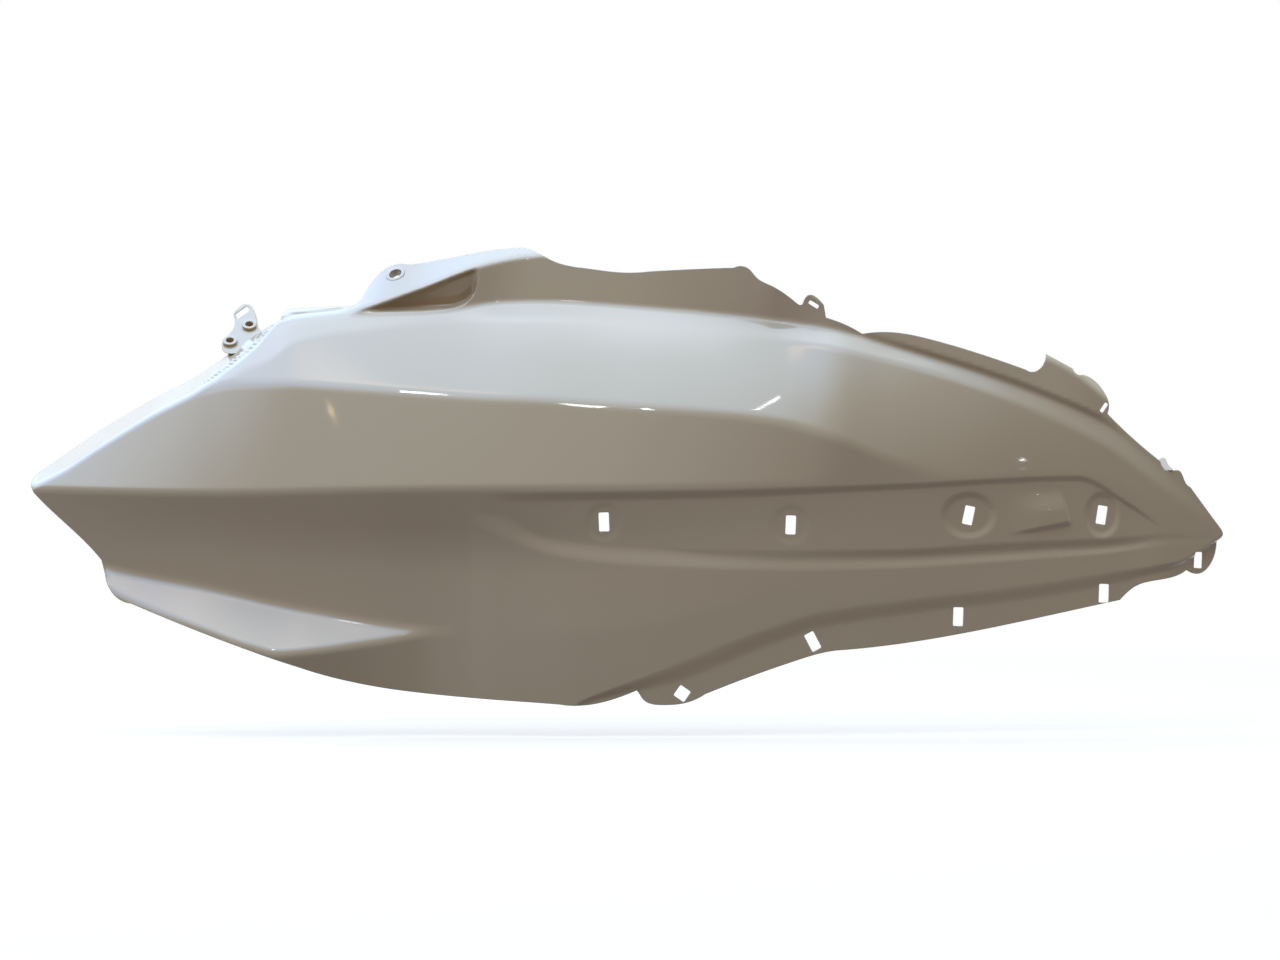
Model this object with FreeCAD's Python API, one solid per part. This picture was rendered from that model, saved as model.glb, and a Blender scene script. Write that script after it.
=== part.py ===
"""Rear side panel of a scooter: one thin moulding, painted outside.

The panel is drawn as it hangs on the machine, seen square on from outside. X runs along it from the
pointed front tip to the narrow rear end, Z is up, and Y is the depth behind the foremost plane.
Heights are counted from the belt, the long crease that starts at the tip. Everything is moved at
the end so that the origin lies at the screw hole in the top ear.
"""
import FreeCAD, Part
import math
import os
from bisect import bisect_right

V = FreeCAD.Vector

# Wall and how softly the skin turns over its creases, mm
WALL = 2.5
BELT_ROUND = 7.0
FACET_ROUND = 9.0
SHOULDER_ROUND = 6.0
FOLD_ROUND = 5.0
KEEL_ROUND = 7.0
BELLY_ROUND = 30.0

# Clip slots through the face, mm: width, height, corner radius
SLOT_WIDTH = 6.5
SLOT_HEIGHT = 12.0
SLOT_CORNER = 0.8

# Screw holes, mm
EAR_HOLE = 8.0
EAR_PAD = 13.0
EAR_PAD_RISE = 0.3
EAR_BOSS = 5.5
LUG_HOLE = 5.0
LUG_BOSS = 9.6
LUG_BOSS_RISE = 2.0
LUG_PLATE = 4.5
LUG_TILT = 48.0
LUG_SLOT_LENGTH = 9.5
LUG_SLOT_WIDTH = 4.2

# Sunk and raised places in the face, mm. The lean is the share of its depth that the pocket loses on
# the way up.
DIMPLE = 1.6
FAINT_DIMPLE = 0.5
PAD_RISE = 2.2
POCKET_EDGE = 3.5
POCKET_LEAN = 0.8

# The sheet before it is trimmed, mm: how far it goes past the outline, and the net of points that it
# is drawn over. Rows are close together on the face, and spread out past the fold and the step.
MARGIN = 10.0
COLUMN_STEP = 8.4
ROW_STEP = 3.6
ROW_COUNT_AT = 300.0
ROW_HEADROOM = 8.0
ROWS_PAST_FOLD = (60, 42, 28, 18, 11, 7, 4.5, 2.5, 1)
ROWS_PAST_STEP = (2, 4, 6.5, 9, 12, 16, 21, 27, 34, 42, 52)
SLOPE_REACH = 0.75

# Half the length of the bars that trim the panel and cut its slots, and of those that cut the screw
# holes, mm
PASS = 200.0
SCREW_PASS = 11.0


class Line:
    """A smooth line through a few points that never swings past them."""

    def __init__(self, *points):
        self.x = [float(p[0]) for p in points]
        self.y = [float(p[1]) for p in points]
        run = [b - a for a, b in zip(self.x, self.x[1:])]
        rise = [(b - a) / h for a, b, h in zip(self.y, self.y[1:], run)]
        slope = [rise[0]]
        for h0, h1, s0, s1 in zip(run, run[1:], rise, rise[1:]):
            if s0 * s1 > 0:
                near, far = 2 * h1 + h0, h1 + 2 * h0
                slope.append((near + far) / (near / s0 + far / s1))
            else:
                slope.append(0.0)
        slope.append(rise[-1])
        self.run = run
        self.slope = slope

    def __call__(self, x):
        x = min(max(x, self.x[0]), self.x[-1])
        i = min(max(bisect_right(self.x, x) - 1, 0), len(self.run) - 1)
        h = self.run[i]
        t = (x - self.x[i]) / h
        return ((1 + 2 * t) * (1 - t) ** 2 * self.y[i] + t * (1 - t) ** 2 * h * self.slope[i]
                + t * t * (3 - 2 * t) * self.y[i + 1] + t * t * (t - 1) * h * self.slope[i + 1])


# Heights of the lines that shape the skin, as (x, z)
FOLD = Line((0, 1.5), (17, 10), (43, 27), (75, 46.5), (107, 63.5), (141, 90.5), (157, 108.5),
            (201, 115), (247, 130), (286, 145), (312, 151), (330, 153), (364, 156), (450, 154),
            (480, 140), (530, 112), (559, 109), (598, 101), (640, 89), (655, 84.5), (672, 75.5),
            (690, 62), (710, 47), (776, -8))
FOOT = Line((100, 60), (132, 80.5), (158, 106), (202, 113), (260, 116), (300, 121.5), (325, 122),
            (396, 118), (462, 112), (513, 104), (559, 90.5), (611, 74.3), (664, 55), (691, 43),
            (717, 24), (776, -24))
SHOULDER = Line((100, 57), (133, 75), (152, 83), (165, 93), (207, 101.5), (289, 110), (325, 110),
                (429, 102), (494, 94), (558, 81), (623, 59.5), (689, 30.5), (737, -3), (776, -28))
UPPER = Line((100, 55), (110, 63), (133, 67.5), (153, 67.5), (205, 64.5), (288, 58.5), (326, 57),
             (364, 54), (402, 51.5), (441, 48.5), (479, 43), (500, 37), (520, 31), (550, 19), (576, 12.5),
             (598, 10.5), (622, 10), (672, 13), (709, 4.5), (776, -26))
BELT = Line((0, 0), (109, -2.5), (238, 0), (365, 1), (492, 3), (622, 8.5), (672, 10.5), (709, 0.5),
            (734, -11), (776, -27))
CREASE = Line((0, -12), (30, -42), (45, -50), (56, -53), (108, -63), (172, -77), (262, -90),
              (339, -91), (364, -90), (390, -87), (428, -79), (493, -66), (558, -64), (776, -34))
KEEL = Line((0, -16), (30, -50), (50, -66), (77, -78), (110, -90), (142, -101), (160, -105),
            (174, -104), (224, -97.5), (262, -92), (301, -96.5), (339, -100), (390, -94), (428, -84),
            (493, -70), (623, -62), (776, -36))

# The long channel for the trim strip, as (x, z): where its upper wall starts and ends, where its floor
# ends, the bottom of the groove that runs along the floor's rear half, and the end of its lower wall
CHANNEL_TOP = Line((280, -2), (428, 0), (557, 4), (674, 9), (709, -9), (733, -24), (776, -34))
CHANNEL_TOP_FOOT = Line((280, -9), (428, -7), (557, -1), (673, 4.5), (710, -13), (733, -27), (776, -38))
CHANNEL_LOW_FOOT = Line((280, -12), (304, -15), (326, -27), (364, -33), (402, -36), (428, -38.5),
                        (557, -38), (623, -34), (710, -30.5), (734, -28.5), (776, -30))
GROOVE = Line((280, -14), (304, -17), (326, -29), (364, -35), (402, -38), (428, -41), (454, -43.5),
              (492, -45.4), (557, -44.4), (597, -42.7), (623, -41.5), (656, -39.4), (690, -38), (710, -36),
              (734, -33), (776, -33))
CHANNEL_LOW = Line((280, -22), (304, -33), (339, -44.5), (396, -50.5), (493, -53), (557, -51.8),
                   (623, -47.6), (690, -43), (734, -38), (776, -36))

# The step back to the lower mounting flange: where it starts and ends, as (x, z)
STEP_START = Line((0, -22), (30, -60), (77, -96), (142, -117), (249, -143), (300, -148), (340, -142),
                  (355, -134), (390, -120.5), (467, -90), (506, -78), (558, -71), (623, -64),
                  (723, -50), (744, -47), (768, -35), (776, -30))
STEP_END = Line((0, -30), (77, -104), (249, -151), (300, -156), (340, -148), (355, -138), (390, -130),
                (416, -124), (467, -104), (506, -91), (558, -82.5), (656, -70.5), (724, -57),
                (744, -51), (768, -37), (776, -32))

# Depth of the belt behind the foremost plane, as (x, y)
BELT_DEPTH = Line((0, 31), (57, 19), (109, 11), (174, 4), (238, 0), (301, 0), (365, 3), (428, 8),
                  (492, 15), (557, 25), (622, 39), (672, 53), (709, 66), (734, 76), (758, 89), (776, 100))

# Tilt of each facet from upright, as (x, degrees), more than zero where it faces up. The upper facet
# is crowned: it leans this much less at its foot, and this much more at its top.
FLANGE_TILT = Line((0, 64), (190, 64), (205, 56), (231, 46), (250, 50), (288, 54), (330, 55), (776, 50))
STRIP_TILT = Line((0, 22), (103, 20), (117, 43), (199, 43), (210, 0), (288, -3), (320, 4), (365, 3),
                  (430, -5), (462, -14), (480, -23), (500, -19), (534, -4), (575, 1), (622, 4), (655, 9),
                  (689, 5), (776, 5))
BAND_TILT = Line((0, 22), (103, 20), (117, 40), (263, 41), (301, 46), (365, 44.5), (428, 42), (470, 40.5),
                 (510, 41.5), (557, 43), (593, 38), (631, 32), (655, 29), (689, 25), (716, 19), (744, 12),
                 (776, 5))
UPPER_TILT = Line((0, 22), (103, 18), (117, 38), (174, 37), (250, 37.5), (301, 38.5), (428, 37.5),
                  (479, 32.5), (495, 28), (517, 21.5), (557, 15.5), (593, 10), (631, 5.5), (689, 4), (776, 5))
CROWN = Line((180, 0), (250, 1.5), (330, 2.5), (403, 4), (480, 4), (517, 5), (557, 7), (593, 6), (650, 4),
             (709, 0), (776, 0))
MIDDLE_TILT = Line((0, 22), (44, 20), (109, 16), (174, 13.5), (238, 14.5), (301, 13.5), (365, 12.5),
                   (403, 10), (441, 7), (492, 1), (524, -7), (557, -6), (589, 2), (612, 5), (631, 5.5),
                   (689, 4), (776, 5))
BELLY_TILT = Line((0, -20), (109, -24), (238, -23), (301, -20), (365, -13), (492, -8), (622, -4),
                  (689, 0), (776, 4))
LOWER_TILT = Line((0, -16), (47, -14), (174, -10), (301, -4), (350, -2), (428, -2), (557, -3.5), (689, 0),
                  (776, 4))
LENS_TILT = Line((0, -12), (43, -12), (47, 38.5), (98, 38.5), (136, 38), (174, 38), (212, 36.5), (237, 35),
                 (263, 13), (276, -5), (428, -5), (776, 4))
UNDER_TILT = Line((0, -12), (142, -16), (174, -19), (238, -11), (269, -7), (301, -5), (557, -4), (689, 0),
                  (776, 4))

# Depth of the channel's upper wall and groove, rise of its lower wall, depth of the step and of the
# pocket under the ear, how far the pocket's lower edge climbs round its rear corner, rise above the
# valley behind the top band, and rise of the flange's ledge, as (x, size)
CHANNEL_TOP_DEPTH = Line((290, 0), (326, 1.4), (377, 2.1), (492, 2), (557, 1.7), (655, 1.5), (709, 1.6),
                         (734, 0), (776, 0))
GROOVE_DEPTH = Line((400, 0), (454, 0.5), (500, 1.1), (557, 1.6), (623, 1.7), (690, 1.6), (734, 0.3),
                    (776, 0))
CHANNEL_LOW_RISE = Line((282, 0), (301, 1.9), (326, 2.8), (350, 3.2), (402, 3), (441, 2.1), (492, 1.2),
                        (530, 1.3), (557, 1.6), (623, 1.5), (690, 1.4), (734, 0.3), (776, 0))
STEP_DEPTH = Line((330, 0), (360, 1.6), (390, 2.4), (428, 2.4), (492, 2.3), (557, 2.1), (622, 1.9),
                  (689, 1.9), (723, 2.1), (744, 3), (755, 5), (768, 5), (776, 3))
POCKET_DEPTH = Line((208, 0), (228, 9), (262, 11.5), (280, 11), (286, 0), (776, 0))
POCKET_CORNER = Line((267, 0), (275, 1.5), (280, 5), (283, 10), (286, 24))
VALLEY_RISE = Line((510, 0), (545, 1.6), (590, 2.6), (680, 2.6), (712, 0), (776, 0))
VALLEY_WIDTH = 5.0
LEDGE_RISE = Line((102, 0), (114, 2), (190, 2), (204, 0), (776, 0))
LEDGE_GAP = 2.6
LEDGE_EDGE = 1.6

# The outline, clockwise from the tip: each run is one smooth edge through its points
OUTLINE = [
    [(-2, 2), (-2, 7), (4, 13)],
    [(4, 13), (27, 30), (72, 57.5), (105, 75), (119, 85)],
    [(119, 85), (141, 101), (156, 109.5)],
    [(156, 109.5), (158, 115), (165, 118)],
    [(165, 118), (198, 119)],
    [(198, 119), (206, 121), (213, 133), (220, 142), (229, 147), (238, 147)],
    [(238, 147), (262, 150.5), (303, 157.5), (313, 158)],
    [(313, 158), (321, 155.5), (333, 149), (356, 144), (377, 141.5), (396, 142)],
    [(396, 142), (429, 143.5), (451, 144)],
    [(451, 144), (455, 145), (460, 143.5), (466, 137), (475, 132), (484, 126.5), (491, 121)],
    [(491, 121), (495, 119.5), (496, 122)],
    [(496, 122), (498, 125), (509, 119)],
    [(509, 119), (510.5, 111)],
    [(510.5, 111), (518, 108.5), (534, 100.5)],
    [(534, 100.5), (559, 101), (578, 97), (624, 83), (640, 77.5)],
    [(640, 77.5), (647, 76.5), (652, 81), (654, 88)],
    [(654, 88), (672, 78.5)],
    [(672, 78.5), (675, 74.5), (679, 74.5)],
    [(679, 74.5), (687, 71), (693, 64), (696, 56), (695, 49)],
    [(695, 49), (710, 35), (731, 18)],
    [(731, 18), (739, 12), (744, 12), (748, 5), (752, 1)],
    [(752, 1), (766, -17), (774, -27)],
    [(774, -27), (775, -30), (771, -35)],
    [(771, -35), (770, -42), (767, -49), (758, -56), (753, -55.5), (749, -53.5)],
    [(749, -53.5), (734, -59), (713, -64), (707, -68.5), (703, -72.5)],
    [(703, -72.5), (637, -86), (571, -98), (516, -104)],
    [(516, -104), (503, -106.5), (493, -109.5), (454, -123), (432, -131.5)],
    [(432, -131.5), (420, -137), (405, -138.5), (394, -136.5), (390, -132)],
    [(390, -132), (388, -129)],
    [(388, -129), (372, -135), (355, -138.5), (339, -138)],
    [(339, -138), (281, -134), (217, -126), (173, -114)],
    [(173, -114), (110, -91.5), (64, -73.5)],
    [(64, -73.5), (52, -67.5), (46, -57), (43, -46)],
    [(43, -46), (38, -40), (17, -19.5), (0, -2.5)],
    [(0, -2.5), (-2, 2)],
]

# Clip slots as (x, z, lean in degrees, more than zero where the top leans to the rear)
FACE_SLOTS = [(367, -21, -2), (486.5, -23, 2), (602, -17, 12), (690.5, -17, 9)]
FLANGE_SLOTS = [(501, -98, -28), (595.5, -82.5, 2), (692, -68, 2)]
CORNER_SLOT = (417, -131, 35)
CORNER_SLOT_SIZE = 8.0
END_SLOT = (757.5, -47, 3)
END_SLOT_WIDTH = 5.5
END_SLOT_HEIGHT = 10.5

# Dimples round the slots as (x, z, half width, half height, depth). The rim and the edge of their
# sloping sides are shares of that size.
DIMPLES = [(367, -21, 11, 12, FAINT_DIMPLE), (486.5, -23, 12, 12, FAINT_DIMPLE),
           (602, -17, 17, 14, DIMPLE), (690.5, -17, 11, 14, DIMPLE)]
DIMPLE_RIM = 1.15
DIMPLE_EDGE = 0.4

# The raised pad between the two rear slots: its rear side, its bottom and its top, as (x, z)
PAD_SIDE_TOP = (665, -2)
PAD_SIDE_FOOT = (671, -24)
PAD_FRONT = 625
PAD_FADE = 30.0
PAD_TOP_FADE = 15.0
PAD_BOTTOM = Line((600, -36), (633, -30.5), (671, -23.5), (700, -18))
PAD_TOP = Line((600, -3), (665, 0), (700, 2))
PAD_EDGE = 3.2

# Where the belly's curve turns into the lower face, as a share of the way from the belt to the crease
BELLY_SHARE = 0.45

# The screw hole in the ear and the two lug holes, as (x, z)
EAR_PLACE = (230, 140.5)
LUG_HOLES = [(123.3, 95.3), (134.7, 106.3)]
LUG_SLOT = (129, 115.7)
LUG_SLOT_LEAN = 40.0
LUG_SHAPE = [(119, 88), (117.5, 96), (121.5, 100.5), (124.5, 105), (125, 111), (122.5, 115), (127, 121),
             (133, 122), (136.5, 117), (139, 111), (140, 105.5), (144, 102), (138, 95), (129, 87)]
LUG_ROOT = (131, 92)

# Small catches on the rear edge: the eye in each, as (x, z, lean), and its size
CATCH_EYES = [(502.5, 119.5, -58), (692.5, 53, 35)]
EYE_LENGTH = 7.0
EYE_WIDTH = 2.4

# The small tab that stands back from the rear edge, as (x, z)
TAB_SHAPE = [(731, 19.5), (735.5, 21), (737, 15), (740, 12.5), (738, 11.5), (729, 13)]
TAB_ROOT = (735, 11.5)
TAB_PLATE = 2.5
TAB_TILT = 50.0


def slope(tilt, x):
    """Depth gained for each millimetre of height on a facet."""
    return math.tan(math.radians(tilt(x)))


def bend(t, width):
    """Zero below the crease and t above it, with a rounded turn of this width between."""
    if t > width / 2:
        return t
    if t < -width / 2:
        return 0.0
    return (t + width / 2) ** 2 / (2 * width)


def smooth(t):
    """A soft step from 0 to 1 as t goes from 0 to 1."""
    t = min(max(t, 0.0), 1.0)
    return t * t * (3 - 2 * t)


class Section:
    """The panel cut across at one distance from the tip."""

    def __init__(self, x):
        self.x = x
        self.belt = BELT(x)
        self.belt_depth = BELT_DEPTH(x)
        self.middle = slope(MIDDLE_TILT, x)
        belly_end = self.belt + BELLY_SHARE * (CREASE(x) - self.belt)
        foot_slope = math.tan(math.radians(UPPER_TILT(x) - CROWN(x)))
        top_slope = math.tan(math.radians(UPPER_TILT(x) + CROWN(x)))
        spread = max(SHOULDER(x) - UPPER(x), FACET_ROUND)
        self.above = [
            (UPPER(x), foot_slope - self.middle, FACET_ROUND),
            ((UPPER(x) + SHOULDER(x)) / 2, top_slope - foot_slope, spread),
            (SHOULDER(x), slope(BAND_TILT, x) - top_slope, SHOULDER_ROUND),
            (FOOT(x), slope(STRIP_TILT, x) - slope(BAND_TILT, x), FOLD_ROUND),
            (FOLD(x), slope(FLANGE_TILT, x) - slope(STRIP_TILT, x), FOLD_ROUND),
        ]
        self.below = [
            (self.belt, slope(BELLY_TILT, x) - self.middle, BELT_ROUND),
            (belly_end, slope(LOWER_TILT, x) - slope(BELLY_TILT, x), BELLY_ROUND),
            (CREASE(x), slope(LENS_TILT, x) - slope(LOWER_TILT, x), KEEL_ROUND),
            (KEEL(x), slope(UNDER_TILT, x) - slope(LENS_TILT, x), KEEL_ROUND),
        ]
        self.steps = [
            (CHANNEL_TOP(x), CHANNEL_TOP_FOOT(x), CHANNEL_TOP_DEPTH(x)),
            (CHANNEL_LOW_FOOT(x), GROOVE(x), GROOVE_DEPTH(x)),
            (GROOVE(x), CHANNEL_LOW(x), -CHANNEL_LOW_RISE(x)),
            (STEP_START(x), STEP_END(x), STEP_DEPTH(x)),
        ]
        self.pocket = (FOOT(x), FOLD(x), POCKET_CORNER(x), POCKET_DEPTH(x))
        self.valley = VALLEY_RISE(x)
        self.ledge = LEDGE_RISE(x)

    def depth(self, z):
        """Depth of the outer skin at this height."""
        y = self.belt_depth + self.middle * (z - self.belt)
        for line, turn, width in self.above:
            y += turn * bend(z - line, width)
        for line, turn, width in self.below:
            y -= turn * bend(line - z, width)
        for start, end, deep in self.steps:
            y += deep * smooth((start - z) / (start - end))
        foot, fold, corner, deep = self.pocket
        lean = 1 - POCKET_LEAN * (z - foot) / max(fold - foot, POCKET_EDGE)
        y += (deep * lean * smooth((z - foot - corner) / POCKET_EDGE)
              * smooth((fold - z) / POCKET_EDGE))
        y -= self.valley * smooth((z - foot) / VALLEY_WIDTH)
        y -= self.ledge * smooth((z - fold - LEDGE_GAP) / LEDGE_EDGE)
        return y + self.local(z)

    def local(self, z):
        """The dimples round the rear slots and the raised pad between them."""
        x = self.x
        y = 0.0
        for cx, cz, half_width, half_height, deep in DIMPLES:
            r = math.hypot((x - cx) / half_width, (z - cz) / half_height)
            y += deep * smooth((DIMPLE_RIM - r) / DIMPLE_EDGE)
        if PAD_FRONT < x < PAD_SIDE_FOOT[0] + PAD_EDGE and PAD_BOTTOM(x) < z < PAD_TOP(x):
            (x0, z0), (x1, z1) = PAD_SIDE_TOP, PAD_SIDE_FOOT
            side = x0 + (x1 - x0) * (z - z0) / (z1 - z0)
            y -= (PAD_RISE * smooth((side - x) / PAD_EDGE) * smooth((z - PAD_BOTTOM(x)) / PAD_EDGE)
                  * smooth((PAD_TOP(x) - z) / PAD_TOP_FADE) * smooth((x - PAD_FRONT) / PAD_FADE))
        return y


def skin(x, z):
    """The point of the outer skin at this place of the outline's plane."""
    return V(x, Section(x).depth(z), z)


def outward(x, z, reach=1.0):
    """Direction square to the skin, pointing away from the machine."""
    along = skin(x + reach, z) - skin(x - reach, z)
    up = skin(x, z + reach) - skin(x, z - reach)
    direction = up.cross(along)
    direction.normalize()
    return direction if direction.y < 0 else direction * -1


def row_heights(x):
    """Heights of the sheet's rows at one section, from the top down. They follow the fold, the belt
    and the step, so that each crease runs along a row."""
    top = max(FOLD(x), BELT(x) + ROW_HEADROOM)
    belt = BELT(x)
    foot = STEP_START(x)
    upper = int((FOLD(ROW_COUNT_AT) - BELT(ROW_COUNT_AT)) / ROW_STEP)
    lower = int((BELT(ROW_COUNT_AT) - STEP_START(ROW_COUNT_AT)) / ROW_STEP)
    rows = [top + h for h in ROWS_PAST_FOLD]
    rows += [top + (belt - top) * i / upper for i in range(upper)]
    rows += [belt + (foot - belt) * i / lower for i in range(lower)]
    rows += [foot - h for h in ROWS_PAST_STEP]
    return rows


def sheet(columns):
    """One smooth surface over a net of points, columns along X and rows down the panel."""
    surface = Part.BSplineSurface()
    nu = len(columns)
    nv = len(columns[0])
    knots_u = list(range(nu - 2))
    knots_v = list(range(nv - 2))
    ends_u = [4] + [1] * (nu - 4) + [4]
    ends_v = [4] + [1] * (nv - 4) + [4]
    surface.buildFromPolesMultsKnots(columns, ends_u, ends_v, knots_u, knots_v, False, False, 3, 3)
    return surface


def moulding():
    """The shell before it is trimmed: outer skin, inner skin one wall behind it, and four ends."""
    x_first = min(p[0] for run in OUTLINE for p in run) - MARGIN
    x_last = max(p[0] for run in OUTLINE for p in run) + MARGIN
    count = round((x_last - x_first) / COLUMN_STEP)
    reach = SLOPE_REACH
    outer = []
    inner = []
    for i in range(count + 1):
        x = x_first + (x_last - x_first) * i / count
        here, back, ahead = Section(x), Section(x - reach), Section(x + reach)
        outer_column = []
        inner_column = []
        for z in row_heights(x):
            y = here.depth(z)
            along = (ahead.depth(z) - back.depth(z)) / (2 * reach)
            up = (here.depth(z + reach) - here.depth(z - reach)) / (2 * reach)
            outer_column.append(V(x, y, z))
            inner_column.append(V(x, y + WALL * math.sqrt(1 + along ** 2 + up ** 2), z))
        outer.append(outer_column)
        inner.append(inner_column)
    front = sheet(outer)
    back = sheet(inner)
    u0, u1, v0, v1 = front.bounds()
    faces = [front.toShape(), back.toShape()]
    for side in ((front.uIso(u0), back.uIso(u0)), (front.uIso(u1), back.uIso(u1)),
                 (front.vIso(v0), back.vIso(v0)), (front.vIso(v1), back.vIso(v1))):
        faces.append(Part.makeRuledSurface(side[0].toShape(), side[1].toShape()))
    shell = Part.makeShell(faces)
    shell.sewShape()
    solid = Part.makeSolid(shell)
    if solid.Volume < 0:
        solid.reverse()
    return solid


def slot_face(x, z, width, height, lean, corner=SLOT_CORNER):
    """A flat slot with rounded corners in the plane y = 0. Its top leans to the rear by this angle."""
    w, h = width / 2, height / 2
    near = corner * (1 - math.sqrt(0.5))
    edges = []
    for sx, sz in ((1, -1), (1, 1), (-1, 1), (-1, -1)):
        side = V(sx * w, 0, sz * (h - corner))
        end = V(sx * (w - corner), 0, sz * h)
        middle = V(sx * (w - near), 0, sz * (h - near))
        start, stop = (end, side) if sx * sz < 0 else (side, end)
        if edges:
            edges.append(Part.makeLine(last, start))
        else:
            first = start
        edges.append(Part.Arc(start, middle, stop).toShape())
        last = stop
    edges.append(Part.makeLine(last, first))
    face = Part.Face(Part.Wire(edges))
    face.rotate(V(0, 0, 0), V(0, 1, 0), lean)
    face.translate(V(x, 0, z))
    return face


def outline_face():
    """The panel's outline as a flat face in the plane y = 0, with its clip slots."""
    edges = []
    for run in OUTLINE:
        points = [V(x, 0, z) for x, z in run]
        if len(points) == 2:
            edges.append(Part.makeLine(points[0], points[1]))
        else:
            curve = Part.BSplineCurve()
            curve.interpolate(points)
            edges.append(curve.toShape())
    slots = [slot_face(x, z, SLOT_WIDTH, SLOT_HEIGHT, lean) for x, z, lean in FACE_SLOTS + FLANGE_SLOTS]
    slots.append(slot_face(*CORNER_SLOT[:2], CORNER_SLOT_SIZE, CORNER_SLOT_SIZE, CORNER_SLOT[2]))
    slots.append(slot_face(*END_SLOT[:2], END_SLOT_WIDTH, END_SLOT_HEIGHT, END_SLOT[2]))
    slots += [slot_face(x, z, EYE_WIDTH, EYE_LENGTH, lean) for x, z, lean in CATCH_EYES]
    return Part.Face(Part.Wire(edges)).cut(slots)


def through(face):
    """A flat face drawn out along Y, far enough to pass the whole panel."""
    bar = face.extrude(V(0, 2 * PASS, 0))
    bar.translate(V(0, -PASS, 0))
    return bar


def ear_pad():
    """Boss with a flat round seat for the screw in the top ear, and the hole through it."""
    centre = skin(*EAR_PLACE)
    axis = outward(*EAR_PLACE, reach=EAR_PAD / 4)
    top = centre + axis * EAR_PAD_RISE
    pad = Part.makeCylinder(EAR_PAD / 2, EAR_BOSS, top, axis * -1)
    hole = Part.makeCylinder(EAR_HOLE / 2, 2 * SCREW_PASS, top + axis * SCREW_PASS, axis * -1)
    return pad, hole, top, axis


def leaning(x, z, root, tilt):
    """Where a line square to the outline's plane meets a plate that leans back from its root."""
    return V(x, skin(*root).y + math.tan(math.radians(tilt)) * (z - root[1]), z)


def outward_of(tilt):
    """Direction square to such a plate, away from the machine."""
    return V(0, -math.cos(math.radians(tilt)), math.sin(math.radians(tilt)))


def leaning_plate(shape, root, tilt, thick):
    """A flat plate of this shape that leans back from its root."""
    points = [leaning(x, z, root, tilt) for x, z in shape]
    return Part.Face(Part.makePolygon(points + points[:1])).extrude(outward_of(tilt) * -thick)


def lug():
    """The lug that stands on the flange in front of the ear, with two screw bosses and a slot."""
    out = outward_of(LUG_TILT)
    plate = leaning_plate(LUG_SHAPE, LUG_ROOT, LUG_TILT, LUG_PLATE)
    thick = LUG_PLATE + LUG_BOSS_RISE
    fronts = [leaning(x, z, LUG_ROOT, LUG_TILT) + out * LUG_BOSS_RISE for x, z in LUG_HOLES]
    bosses = [Part.makeCylinder(LUG_BOSS / 2, thick, front, out * -1) for front in fronts]
    body = plate.multiFuse(bosses)
    holes = [Part.makeCylinder(LUG_HOLE / 2, 2 * SCREW_PASS, front + out * SCREW_PASS, out * -1)
             for front in fronts]
    x, z = LUG_SLOT
    holes.append(through(slot_face(x, z, LUG_SLOT_WIDTH, LUG_SLOT_LENGTH, 90 - LUG_SLOT_LEAN)))
    return body.cut(holes)


def build():
    """The whole panel in its own frame, and the ear screw's place and direction in the drawn frame."""
    pad, ear_hole, ear_centre, ear_axis = ear_pad()
    panel = moulding().common(through(outline_face()))
    tab = leaning_plate(TAB_SHAPE, TAB_ROOT, TAB_TILT, TAB_PLATE)
    panel = panel.multiFuse([pad, lug(), tab]).cut(ear_hole)
    panel.translate(ear_centre * -1)
    return panel, ear_centre, ear_axis


panel, ear_centre, ear_axis = build()
print("solids", len(panel.Solids), "valid", panel.isValid(), "faces", len(panel.Faces))
print("ear screw drawn at", ear_centre, "axis", ear_axis)
print("volume", panel.Volume, "centre", panel.Solids[0].CenterOfMass)
os.makedirs("parts", exist_ok=True)
panel.Solids[0].exportStep("parts/side_panel.step")
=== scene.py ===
# %% [markdown]
# # A scooter's side panel
# The panel is one thin moulding of ABS, painted with a light warm grey gloss. It has sharp creases,
# flat facets, a sunk channel and a few clip slots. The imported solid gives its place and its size.
# Here the same skin is worked out again as a smooth mesh, so that the gloss shows clean reflections.

# %% The frame
import math

import bpy
import numpy as np
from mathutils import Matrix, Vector
from mathutils.geometry import delaunay_2d_cdt


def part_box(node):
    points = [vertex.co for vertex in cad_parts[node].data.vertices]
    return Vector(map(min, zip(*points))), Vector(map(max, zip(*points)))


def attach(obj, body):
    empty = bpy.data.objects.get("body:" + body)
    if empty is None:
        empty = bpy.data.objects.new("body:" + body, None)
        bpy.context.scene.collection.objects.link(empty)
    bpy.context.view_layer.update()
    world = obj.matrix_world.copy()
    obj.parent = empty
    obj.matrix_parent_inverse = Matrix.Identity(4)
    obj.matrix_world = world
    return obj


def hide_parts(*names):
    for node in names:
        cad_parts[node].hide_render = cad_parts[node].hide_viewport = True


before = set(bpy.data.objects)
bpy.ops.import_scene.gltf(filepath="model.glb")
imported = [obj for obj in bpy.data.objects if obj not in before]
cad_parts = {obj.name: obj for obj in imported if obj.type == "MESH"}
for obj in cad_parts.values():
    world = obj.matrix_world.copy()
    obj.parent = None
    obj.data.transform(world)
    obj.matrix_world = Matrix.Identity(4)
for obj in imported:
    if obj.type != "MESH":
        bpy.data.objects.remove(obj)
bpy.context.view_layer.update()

# %% [markdown]
# ## Lines across the panel
# A designer draws such a panel with long lines seen from the side: the fold at the top, the creases
# between facets, the belt. Each one is a height for every distance from the tip. A monotone cubic
# suits them, because it is smooth and never swings past its points.

# %% A smooth line through a few points


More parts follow.
